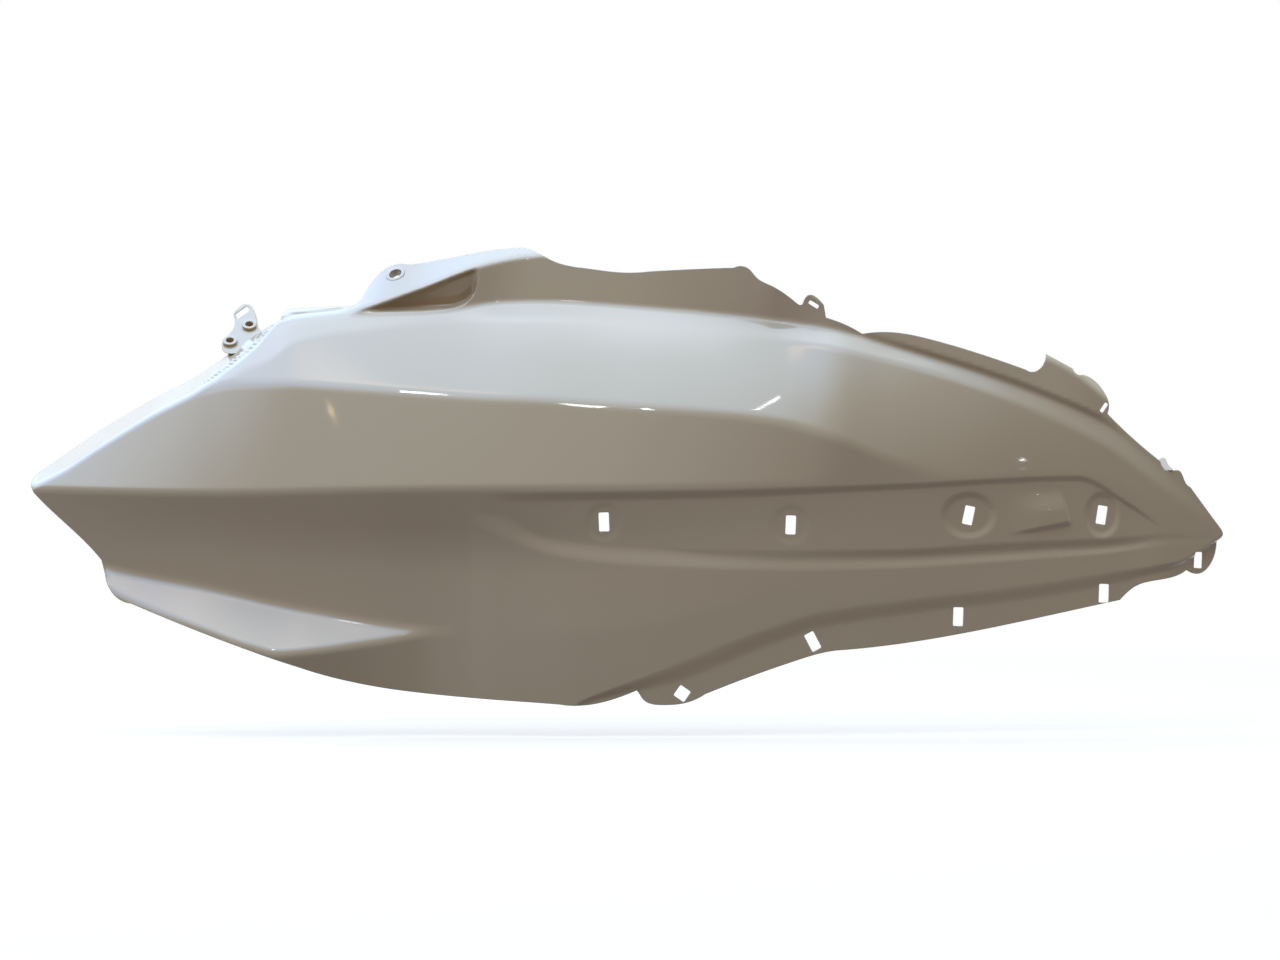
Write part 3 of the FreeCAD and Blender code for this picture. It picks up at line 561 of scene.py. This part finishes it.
# %% The shell
# How far the seat laps over the sheet, and how many sides its hole in the sheet has
EAR_LAP, EAR_SIDES = 1.0, 48
turn_u = unit(np.cross(ear_axis, (0, 1, 0)))
turn_v = np.cross(ear_axis, turn_u)
turn = np.linspace(0, 2 * math.pi, EAR_SIDES, endpoint=False)[:, None]
ear_loop = ear_skin + (EAR_HOLE / 2 + EAR_LAP) * (np.cos(turn) * turn_u + np.sin(turn) * turn_v)
shell = wall(rim, slots + [ear_loop[:, [0, 2]]], depth, inner_depth, sheet)
print("shell", len(shell[0]), "points,", len(shell[2]), "triangles")

# %% [markdown]
# ## Seat, lug and tab
# The ear carries a boss with a flat round seat for its screw. In front of it a small lug stands on
# the flange, with two screw bosses and a slot, and a small tab stands back from the rear edge. The
# bosses are profiles turned about an axis. The lug and the tab are flat walls that lean back.

# %% Turned rings
# A direction that no boss points along
ASIDE = (0.3, 0.2, 1.0)


def weighted(points, faces):
    """Normals at the points: the faces' normals added up by their area, so flat faces stay flat."""
    a, b, c = points[faces[:, 0]], points[faces[:, 1]], points[faces[:, 2]]
    n = np.zeros_like(points)
    np.add.at(n, faces.ravel(), np.repeat(np.cross(b - a, c - a), 3, axis=0))
    return unit(n)


def ring(centre, axis, profile, around=64):
    """A closed profile of radius and height turned about an axis: the centre, plus height along the
    axis, plus radius times the cosine and sine of the angle along two directions square to it."""
    u = unit(np.cross(axis, ASIDE))
    v = np.cross(axis, u)
    a = np.linspace(0, 2 * math.pi, around, endpoint=False)[:, None, None]
    r, h = np.array(profile, float).T[:, None, :, None]
    points = (centre + h * axis + r * (np.cos(a) * u + np.sin(a) * v)).reshape(-1, 3)
    k = len(profile)
    i, j = np.meshgrid(np.arange(around), np.arange(k), indexing="ij")
    i, j = i.ravel(), j.ravel()
    here, up = i * k + j, i * k + (j + 1) % k
    side_here, side_up = (i + 1) % around * k + j, (i + 1) % around * k + (j + 1) % k
    faces = np.vstack([np.column_stack([here, side_up, side_here]), np.column_stack([here, up, side_up])])
    return points, weighted(points, faces), faces, np.zeros(len(faces), bool)


def seat_profile(bore, outer, top, bottom, cut=0.35):
    """Radius and height round a flat ring whose two top corners are cut at 45 degrees."""
    return [(bore, bottom), (bore, top - cut), (bore + cut, top), (outer - cut, top), (outer, top - cut),
            (outer, bottom)]


ear_profile = seat_profile(EAR_HOLE / 2, EAR_PAD / 2, EAR_PAD_RISE, EAR_PAD_RISE - EAR_BOSS)
ear_seat = ring(ear_skin, ear_axis, ear_profile)
print("ear seat", len(ear_seat[0]), "points")

# %% The lug and the tab
LUG_HOLE, LUG_BOSS, LUG_BOSS_RISE, LUG_PLATE, LUG_TILT = 5.0, 9.6, 2.0, 4.5, 48.0
LUG_SLOT, LUG_SLOT_LENGTH, LUG_SLOT_WIDTH, LUG_SLOT_LEAN = (129, 115.7), 9.5, 4.2, 40.0
LUG_HOLES, LUG_ROOT = [(123.3, 95.3), (134.7, 106.3)], (131, 92)
LUG_SHAPE = [(119, 88), (117.5, 96), (121.5, 100.5), (124.5, 105), (125, 111), (122.5, 115), (127, 121),
             (133, 122), (136.5, 117), (139, 111), (140, 105.5), (144, 102), (138, 95), (129, 87)]
TAB_SHAPE = [(731, 19.5), (735.5, 21), (737, 15), (740, 12.5), (738, 11.5), (729, 13)]
TAB_ROOT, TAB_PLATE, TAB_TILT = (735, 11.5), 2.5, 50.0
# How far the bosses lap over the lug, and the spacing of points on the rims and in the plates
LUG_LAP, LUG_STEP, TAB_STEP, PLATE_STEP = 0.6, 1.5, 1.2, 1.6


def soften(loop, times=2):
    """Corners cut off again and again, each piece keeping its middle half."""
    for _ in range(times):
        after = np.roll(loop, -1, axis=0)
        loop = np.stack([0.75 * loop + 0.25 * after, 0.25 * loop + 0.75 * after], axis=1).reshape(-1, 2)
    return loop


def circle(x, z, radius, count=32):
    """Points round a circle in the plane of the outline."""
    a = np.linspace(0, 2 * math.pi, count, endpoint=False)
    return np.column_stack([x + radius * np.cos(a), z + radius * np.sin(a)])


def plate_grid(loop, spacing=PLATE_STEP):
    """An even grid over a loop."""
    low, high = loop.min(axis=0), loop.max(axis=0)
    x, z = np.meshgrid(np.arange(low[0], high[0], spacing), np.arange(low[1], high[1], spacing))
    return np.column_stack([x.ravel(), z.ravel()])


def leaning(root, tilt):
    """A plane that leans back as it rises: the root's depth plus the tilt's tangent times the height
    above the root."""
    at_root, rate = float(depth(*root)), math.tan(math.radians(tilt))
    return lambda x, z: at_root + rate * (z - root[1]) + 0 * x


def leaning_plate(loop, holes, root, tilt, thick):
    """A wall whose front is such a plane, and whose back is the same plane one thickness behind."""
    front = leaning(root, tilt)
    behind = thick / math.cos(math.radians(tilt))
    return wall(loop, holes, front, lambda x, z: front(x, z) + behind, plate_grid(loop))


squash = math.cos(math.radians(LUG_TILT))
lug_axis = np.array([0, -squash, math.sin(math.radians(LUG_TILT))])
lug_front = leaning(LUG_ROOT, LUG_TILT)
lug_rim = divide(soften(np.array(LUG_SHAPE, float)), LUG_STEP)
tab_rim = divide(soften(np.array(TAB_SHAPE, float), 1), TAB_STEP)
# The bosses' holes are round on the leaning plate, so in the plane of the outline they are flattened
lug_holes = [circle(x, z, LUG_HOLE / 2 + LUG_LAP) * (1, squash) + (0, z * (1 - squash))
             for x, z in LUG_HOLES]
lug_holes.append(divide(slot_loop(*LUG_SLOT, LUG_SLOT_WIDTH, LUG_SLOT_LENGTH, 90 - LUG_SLOT_LEAN)))
lug = leaning_plate(lug_rim, lug_holes, LUG_ROOT, LUG_TILT, LUG_PLATE)
boss_profile = seat_profile(LUG_HOLE / 2, LUG_BOSS / 2, LUG_BOSS_RISE, -LUG_PLATE)
bosses = [ring(np.array([x, lug_front(x, z), z]), lug_axis, boss_profile) for x, z in LUG_HOLES]
tab = leaning_plate(tab_rim, [], TAB_ROOT, TAB_TILT, TAB_PLATE)
print("lug", len(lug[2]), "tab", len(tab[2]), "triangles")

# %% [markdown]
# ## One mesh
# All of it was moulded in one shot, so it becomes one mesh. The normals come from the formula and not
# from the triangles, because a gloss coat shows every facet that a triangle makes.

# %% Join the parts


def joined(parts):
    """Points, normals, faces and hidden marks of all the parts, the faces counted on from one to the
    next."""
    starts = np.cumsum([0] + [len(p[0]) for p in parts[:-1]])
    return (np.vstack([p[0] for p in parts]), np.vstack([p[1] for p in parts]),
            np.vstack([p[2] + s for p, s in zip(parts, starts)]), np.concatenate([p[3] for p in parts]))


def make_piece(name, parts, materials):
    """A Blender object from joined parts, in metres from the ear screw. Hidden faces take the second
    material."""
    points, normals, faces, hidden = joined(parts)
    mesh = bpy.data.meshes.new(name)
    mesh.from_pydata(((points - ORIGIN) / 1000).tolist(), [], faces.tolist())
    mesh.update()
    for material in materials:
        mesh.materials.append(material)
    mesh.polygons.foreach_set("material_index", hidden.astype(np.int32))
    mesh.polygons.foreach_set("use_smooth", np.ones(len(faces), bool))
    mesh.normals_split_custom_set_from_vertices(normals.tolist())
    piece = bpy.data.objects.new(name, mesh)
    bpy.context.scene.collection.objects.link(piece)
    return piece


# %% [markdown]
# ## Paint
# The panel is ABS, moulded, then sprayed with a base coat and a clear coat. The clear coat gives
# sharp mirror images with a fine ripple that painters call orange peel, one to three millimetres
# wide. The base coat under it is soft and reflects little. Inside there is no paint: the bare plastic
# is a little darker, and its grain makes it satin.

# %% Helpers for materials


def linear(code):
    """An sRGB hex colour as the four linear numbers that a shader takes, the last one for alpha."""
    c = np.array([int(code[i:i + 2], 16) for i in (1, 3, 5)]) / 255
    return tuple(np.where(c <= 0.04045, c / 12.92, ((c + 0.055) / 1.055) ** 2.4)) + (1.0,)


def add(tree, kind, settings=None, **inputs):
    """A node with its settings. An input goes by its name, or by its number as i0 or i1, and is linked
    to another node's output or set to a value. The two colours of a Mix node are i6 and i7."""
    node = tree.nodes.new(kind)
    for key, value in (settings or {}).items():
        setattr(node, key, value)
    for key, value in inputs.items():
        name = int(key[1:]) if key[1:].isdigit() else key.replace("_", " ")
        if isinstance(value, bpy.types.NodeSocket):
            tree.links.new(value, node.inputs[name])
        else:
            node.inputs[name].default_value = value
    return node


def new_material(name):
    """An empty node material with its Principled shader."""
    material = bpy.data.materials.new(name)
    material.use_nodes = True
    return material, material.node_tree, material.node_tree.nodes["Principled BSDF"]


def per_metre(millimetres):
    """Noise scale at which one blob is about this wide, on coordinates in metres."""
    return 1000 / millimetres


# %% Gloss paint over ABS
# Width in mm of the orange peel's ripples, and of the slow drift in the paint's tone
PEEL, DRIFT = 2.4, 140
PAINT_TONES = ("#aa9372", "#ad9675")


def gloss_paint():
    """Sprayed two-coat paint: a warm light grey base under clear coat, with orange peel."""
    material, tree, shader = new_material("gloss_paint_on_abs")
    place = add(tree, "ShaderNodeTexCoord").outputs["Object"]
    drift = add(tree, "ShaderNodeTexNoise", Vector=place, Scale=per_metre(DRIFT), Detail=2.0)
    tone = add(tree, "ShaderNodeValToRGB", Fac=drift.outputs["Fac"])
    tone.color_ramp.elements[0].color = linear(PAINT_TONES[0])
    tone.color_ramp.elements[1].color = linear(PAINT_TONES[1])
    peel = add(tree, "ShaderNodeTexNoise", Vector=place, Scale=per_metre(PEEL), Detail=1.0)
    bump = add(tree, "ShaderNodeBump", Height=peel.outputs["Fac"], Strength=0.03, Distance=0.0004)
    tree.links.new(tone.outputs["Color"], shader.inputs["Base Color"])
    tree.links.new(bump.outputs["Normal"], shader.inputs["Normal"])
    shader.inputs["Roughness"].default_value = 0.34
    shader.inputs["IOR"].default_value = 1.5
    shader.inputs["Specular IOR Level"].default_value = 0.15
    shader.inputs["Coat Weight"].default_value = 1.0
    shader.inputs["Coat Roughness"].default_value = 0.05
    shader.inputs["Coat IOR"].default_value = 1.5
    return material


print("paint from", *PAINT_TONES)

# %% Bare ABS
# Such grain is about 0.1 mm wide. It is drawn coarser, so that it shows.
GRAIN = 0.9


def bare_abs():
    """Unpainted moulded ABS as on the inside: satin, a shade darker, with spark-eroded grain."""
    material, tree, shader = new_material("bare_moulded_abs")
    place = add(tree, "ShaderNodeTexCoord").outputs["Object"]
    grain = add(tree, "ShaderNodeTexNoise", Vector=place, Scale=per_metre(GRAIN), Detail=3.0)
    bump = add(tree, "ShaderNodeBump", Height=grain.outputs["Fac"], Strength=0.2, Distance=0.0002)
    tree.links.new(bump.outputs["Normal"], shader.inputs["Normal"])
    shader.inputs["Base Color"].default_value = linear("#857f75")
    shader.inputs["Roughness"].default_value = 0.55
    return material


# %% The panel
panel = make_piece("painted_panel", [shell, ear_seat, lug, tab] + bosses, [gloss_paint(), bare_abs()])
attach(panel, "root")
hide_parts("side_panel")
print("panel", len(panel.data.polygons), "triangles")

# %% [markdown]
# ## Studio
# The panel hangs square on to the camera. A facet works as a mirror: tilted up by some angle, it shows
# the camera what lies at twice that angle above the horizon. So one large soft box overhead makes the
# upper facets light, and the facets below the belt mirror the floor and stay dark. The box fades out
# towards its edges, so that no hard edge shows in the gloss. Its light is cool and that of the floor
# warm, which the paint shows as a cool top and a warm foot. Smaller lamps light the band at the top,
# the tip, the lens facet and the return flange.

# %% Floor and world, in metres
FLOOR_DROP, FLOOR_SIZE = 0.02, 12.0
# The floor turns plain white between these distances from the panel, from this share of white to all
FLOOR_CLEAR, FLOOR_WHITE = (0.55, 1.5), (0.6, 1.0)
# How light the world is on the tip's side, and on the rear's
WORLD_AT_TIP, WORLD_AT_REAR = 1.3, 0.6
low, high = (np.array(v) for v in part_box("side_panel"))
middle = (low + high) / 2


def where_seen(tree):
    """One where a camera, mirror or glass ray looks, and zero for light that only bounces."""
    path = add(tree, "ShaderNodeLightPath")
    seen = path.outputs["Is Camera Ray"]
    for kind in ("Is Glossy Ray", "Is Transmission Ray"):
        larger = add(tree, "ShaderNodeMath", {"operation": "MAXIMUM"}, i0=seen, i1=path.outputs[kind])
        seen = larger.outputs[0]
    return seen


def pale_floor():
    """Matt studio paper. It keeps the shadow near the panel, and further off, by the distance from
    the middle, it turns into plain white where it is seen. Bounced light finds it a warm dark grey."""
    material, tree, shader = new_material("pale_paper")
    seen = where_seen(tree)
    paper = add(tree, "ShaderNodeMix", {"data_type": "RGBA"}, Factor=seen, i6=linear("#3d362d"),
                i7=linear("#eedcc4"))
    tree.links.new(paper.outputs[2], shader.inputs["Base Color"])
    shader.inputs["Roughness"].default_value = 0.9
    place = add(tree, "ShaderNodeTexCoord").outputs["Object"]
    foot = (middle[0], middle[1], low[2])
    away = add(tree, "ShaderNodeVectorMath", {"operation": "DISTANCE"}, i0=place, i1=foot)
    fade = add(tree, "ShaderNodeMapRange", {"interpolation_type": "SMOOTHSTEP"}, i0=away.outputs["Value"],
               i1=FLOOR_CLEAR[0], i2=FLOOR_CLEAR[1], i3=FLOOR_WHITE[0], i4=FLOOR_WHITE[1])
    share = add(tree, "ShaderNodeMath", {"operation": "MULTIPLY"}, i0=fade.outputs["Result"], i1=seen)
    white = add(tree, "ShaderNodeEmission")
    both = add(tree, "ShaderNodeMixShader", Fac=share.outputs[0], i1=shader.outputs[0], i2=white.outputs[0])
    tree.links.new(both.outputs[0], tree.nodes["Material Output"].inputs["Surface"])
    return material


def make_floor():
    """A square of floor just under the panel."""
    half = FLOOR_SIZE / 2
    corners = [(middle[0] + a * half, middle[1] + b * half, low[2] - FLOOR_DROP)
               for a, b in ((-1, -1), (1, -1), (1, 1), (-1, 1))]
    mesh = bpy.data.meshes.new("floor")
    mesh.from_pydata(corners, [], [(0, 1, 2, 3)])
    mesh.materials.append(pale_floor())
    floor = bpy.data.objects.new("floor", mesh)
    bpy.context.scene.collection.objects.link(floor)
    return floor


def make_world():
    """White where it is seen. For bounced light it goes from dim and warm below to cool above, and
    it is lighter from the tip's side than from the rear."""
    world = bpy.data.worlds.new("studio")
    world.use_nodes = True
    bpy.context.scene.world = world
    tree = world.node_tree
    way = add(tree, "ShaderNodeTexCoord").outputs["Generated"]
    way = add(tree, "ShaderNodeSeparateXYZ", Vector=way)
    share = add(tree, "ShaderNodeMapRange", i0=way.outputs["Z"], i1=-1.0, i2=1.0)
    sky = add(tree, "ShaderNodeValToRGB", Fac=share.outputs["Result"])
    sky.color_ramp.elements[0].color = linear("#503f30")
    sky.color_ramp.elements[1].color = linear("#c3cedb")
    sky.color_ramp.elements.new(0.5).color = linear("#b08e6e")
    level = add(tree, "ShaderNodeMapRange", i0=way.outputs["X"], i1=-1.0, i2=1.0, i3=WORLD_AT_TIP,
                i4=WORLD_AT_REAR)
    scaled = add(tree, "ShaderNodeVectorMath", {"operation": "SCALE"}, i0=sky.outputs["Color"],
                 Scale=level.outputs["Result"])
    mix = add(tree, "ShaderNodeMix", {"data_type": "RGBA"}, Factor=where_seen(tree),
              i6=scaled.outputs["Vector"], i7=linear("#ffffff"))
    tree.links.new(mix.outputs[2], tree.nodes["Background"].inputs["Color"])


make_floor()
make_world()
print("floor at", round(float(low[2] - FLOOR_DROP), 3))

# %% Helpers for lamps


def faded(lamp, fades):
    """The lamp's light times a soft step in from each edge. A fade is the share of the box that a step
    takes, from its left, its right, its near and its far edge."""
    lamp.use_nodes = True
    tree = lamp.node_tree
    spot = add(tree, "ShaderNodeNewGeometry").outputs["Parametric"]
    place = add(tree, "ShaderNodeSeparateXYZ", Vector=spot)
    light = 1.0
    left, right, near, far = fades
    for axis, start, end in (("X", 0, left), ("X", 1, 1 - right), ("Y", 0, near), ("Y", 1, 1 - far)):
        step = add(tree, "ShaderNodeMapRange", {"interpolation_type": "SMOOTHSTEP"},
                   i0=place.outputs[axis], i1=start, i2=end)
        both = add(tree, "ShaderNodeMath", {"operation": "MULTIPLY"}, i0=step.outputs[0], i1=light)
        light = both.outputs[0]
    tree.links.new(light, tree.nodes["Emission"].inputs["Strength"])


def tinted(lamp, left, right, start, end):
    """The lamp's colour: one hex colour at its left, another at its right, with a soft step between
    two shares of its width."""
    tree = lamp.node_tree
    spot = add(tree, "ShaderNodeNewGeometry").outputs["Parametric"]
    place = add(tree, "ShaderNodeSeparateXYZ", Vector=spot)
    step = add(tree, "ShaderNodeMapRange", {"interpolation_type": "SMOOTHSTEP"}, i0=place.outputs["X"],
               i1=start, i2=end)
    tint = add(tree, "ShaderNodeMix", {"data_type": "RGBA"}, Factor=step.outputs[0], i6=linear(left),
               i7=linear(right))
    tree.links.new(tint.outputs[2], tree.nodes["Emission"].inputs["Color"])


def soft_box(name, place, target, size, watts, code):
    """A rectangular lamp that looks from its place at the target."""
    lamp = bpy.data.lights.new(name, "AREA")
    lamp.shape = "RECTANGLE"
    lamp.size, lamp.size_y = size
    lamp.energy = watts
    lamp.color = linear(code)[:3]
    box = bpy.data.objects.new(name, lamp)
    box.location = place
    box.rotation_euler = (Vector(target) - Vector(place)).to_track_quat("-Z", "Y").to_euler()
    bpy.context.scene.collection.objects.link(box)
    return lamp


# %% The soft box overhead, and a brighter strip in it that only the band along the top mirrors
BOX_SIZE, BOX_HEIGHT, BOX_BACK, BOX_LEFT, BOX_WATTS = (4.4, 3.8), 1.4, 0.1, 0.4, 258.0
BOX_FADES, BOX_TINTS, BOX_TINT_STEP = (0.25, 0.45, 0.3, 0.3), ("#8fbdff", "#98bee4"), (0.38, 0.62)
STRIP_SIZE, STRIP_FRONT, STRIP_BELOW_BOX, STRIP_WATTS = (3.6, 0.5), 0.05, 0.01, 14.0
STRIP_FADES = (0.3, 0.4, 0.5, 0.5)

over = (middle[0] - BOX_LEFT, middle[1] + BOX_BACK, middle[2] + BOX_HEIGHT)
overhead = soft_box("overhead", over, (*over[:2], middle[2]), BOX_SIZE, BOX_WATTS, "#ffffff")
faded(overhead, BOX_FADES)
tinted(overhead, *BOX_TINTS, *BOX_TINT_STEP)
strip_place = (over[0], middle[1] - STRIP_FRONT, over[2] - STRIP_BELOW_BOX)
strip_target = (*strip_place[:2], middle[2])
faded(soft_box("ridge", strip_place, strip_target, STRIP_SIZE, STRIP_WATTS, "#e4eeff"), STRIP_FADES)
print("box over", [round(float(v), 3) for v in over])

# %% Smaller boxes that look at the panel's middle
# Name, place from the middle, size, watts, colour, and the fade of all four edges. The first is to
# the left, in front of the tip. The second is small, and the lens facet mirrors it. The third is
# behind the tip, and of the outside only the return flange sees it.
SMALL_BOXES = [("side", (-1.5, -1.4, 1.3), (1.8, 1.3), 25.0, "#c8e0ff", 0.4),
               ("lens_lamp", (-0.28, -0.48, 1.4), (0.7, 0.24), 1.3, "#ffd6a6", 0.4),
               ("back", (-1.6, 2.0, 1.4), (1.8, 1.8), 10.0, "#cfe4ff", 0.3)]

for name, away, size, watts, code, fade in SMALL_BOXES:
    faded(soft_box(name, middle + np.array(away), middle, size, watts, code), (fade,) * 4)
print("smaller boxes", len(SMALL_BOXES))

# %% Camera, square on to the panel, in mm
CAMERA_FROM_TIP, CAMERA_HEIGHT, CAMERA_AWAY = 390.0, 5.7, 2500.0
# Width of a pixel at the foremost plane, the photograph's width in pixels, and the sensor's width
PIXEL, FRAME_PIXELS, SENSOR = 0.635, 1280, 36.0

eye = (np.array([CAMERA_FROM_TIP, -CAMERA_AWAY, CAMERA_HEIGHT]) - ORIGIN) / 1000
camera = bpy.data.cameras.new("camera")
camera.sensor_width = SENSOR
camera.lens = SENSOR * CAMERA_AWAY / (FRAME_PIXELS * PIXEL)
tripod = bpy.data.objects.new("camera", camera)
tripod.location = eye
tripod.rotation_euler = (math.pi / 2, 0, 0)
bpy.context.scene.collection.objects.link(tripod)
bpy.context.scene.camera = tripod
bpy.context.scene.view_settings.view_transform = "Standard"
print("camera at", eye.round(3), "lens", round(camera.lens, 1))

# %% [markdown]
# ## Glints
# Gloss paint also shows the small bright things in a room, as sharp white glints. Where a glint
# should lie, the skin's slope is known, so the mirror law gives the direction that its lamp is in.
# On a facet the glint is as wide as the lamp. On a crease it shrinks to a line, so that lamp is tall.

# %% Small lamps
# How far off the lamps are in mm, and how bright
GLINT_REACH, GLINT_LIGHT = 1000.0, 30.0
# Where on the skin each glint lies, the lamp's width and height in mm, and its colour
GLINTS = [(193.1, 49.5, 10, 3.5, "#ffdf9e"), (477, 57.5, 12, 14, "#ffffff"), (637, 18.6, 12, 12, "#ffffff"),
          (247, 61.6, 10, 110, "#ffffff"), (362, 52.5, 18, 110, "#ffffff")]


def glint(number, x, z, width, height, code):
    """A small lamp where the skin at this place mirrors it to the camera: twice the share of the view
    direction along the normal, times the normal, less the view direction. Its watts are its
    brightness times pi times its area."""
    along, up = gradient(x, z)
    spot = np.array([x, float(depth(x, z)), z])
    normal = unit(np.array([float(along), -1.0, float(up)]))
    to_eye = unit(eye * 1000 + ORIGIN - spot)
    way = 2 * (normal @ to_eye) * normal - to_eye
    place, target = (spot + way * GLINT_REACH - ORIGIN) / 1000, (spot - ORIGIN) / 1000
    size = (width / 1000, height / 1000)
    watts = GLINT_LIGHT * math.pi * size[0] * size[1]
    soft_box("glint_%d" % number, place, target, size, watts, code)


for number, row in enumerate(GLINTS):
    glint(number, *row)
print("small lamps", len(GLINTS))
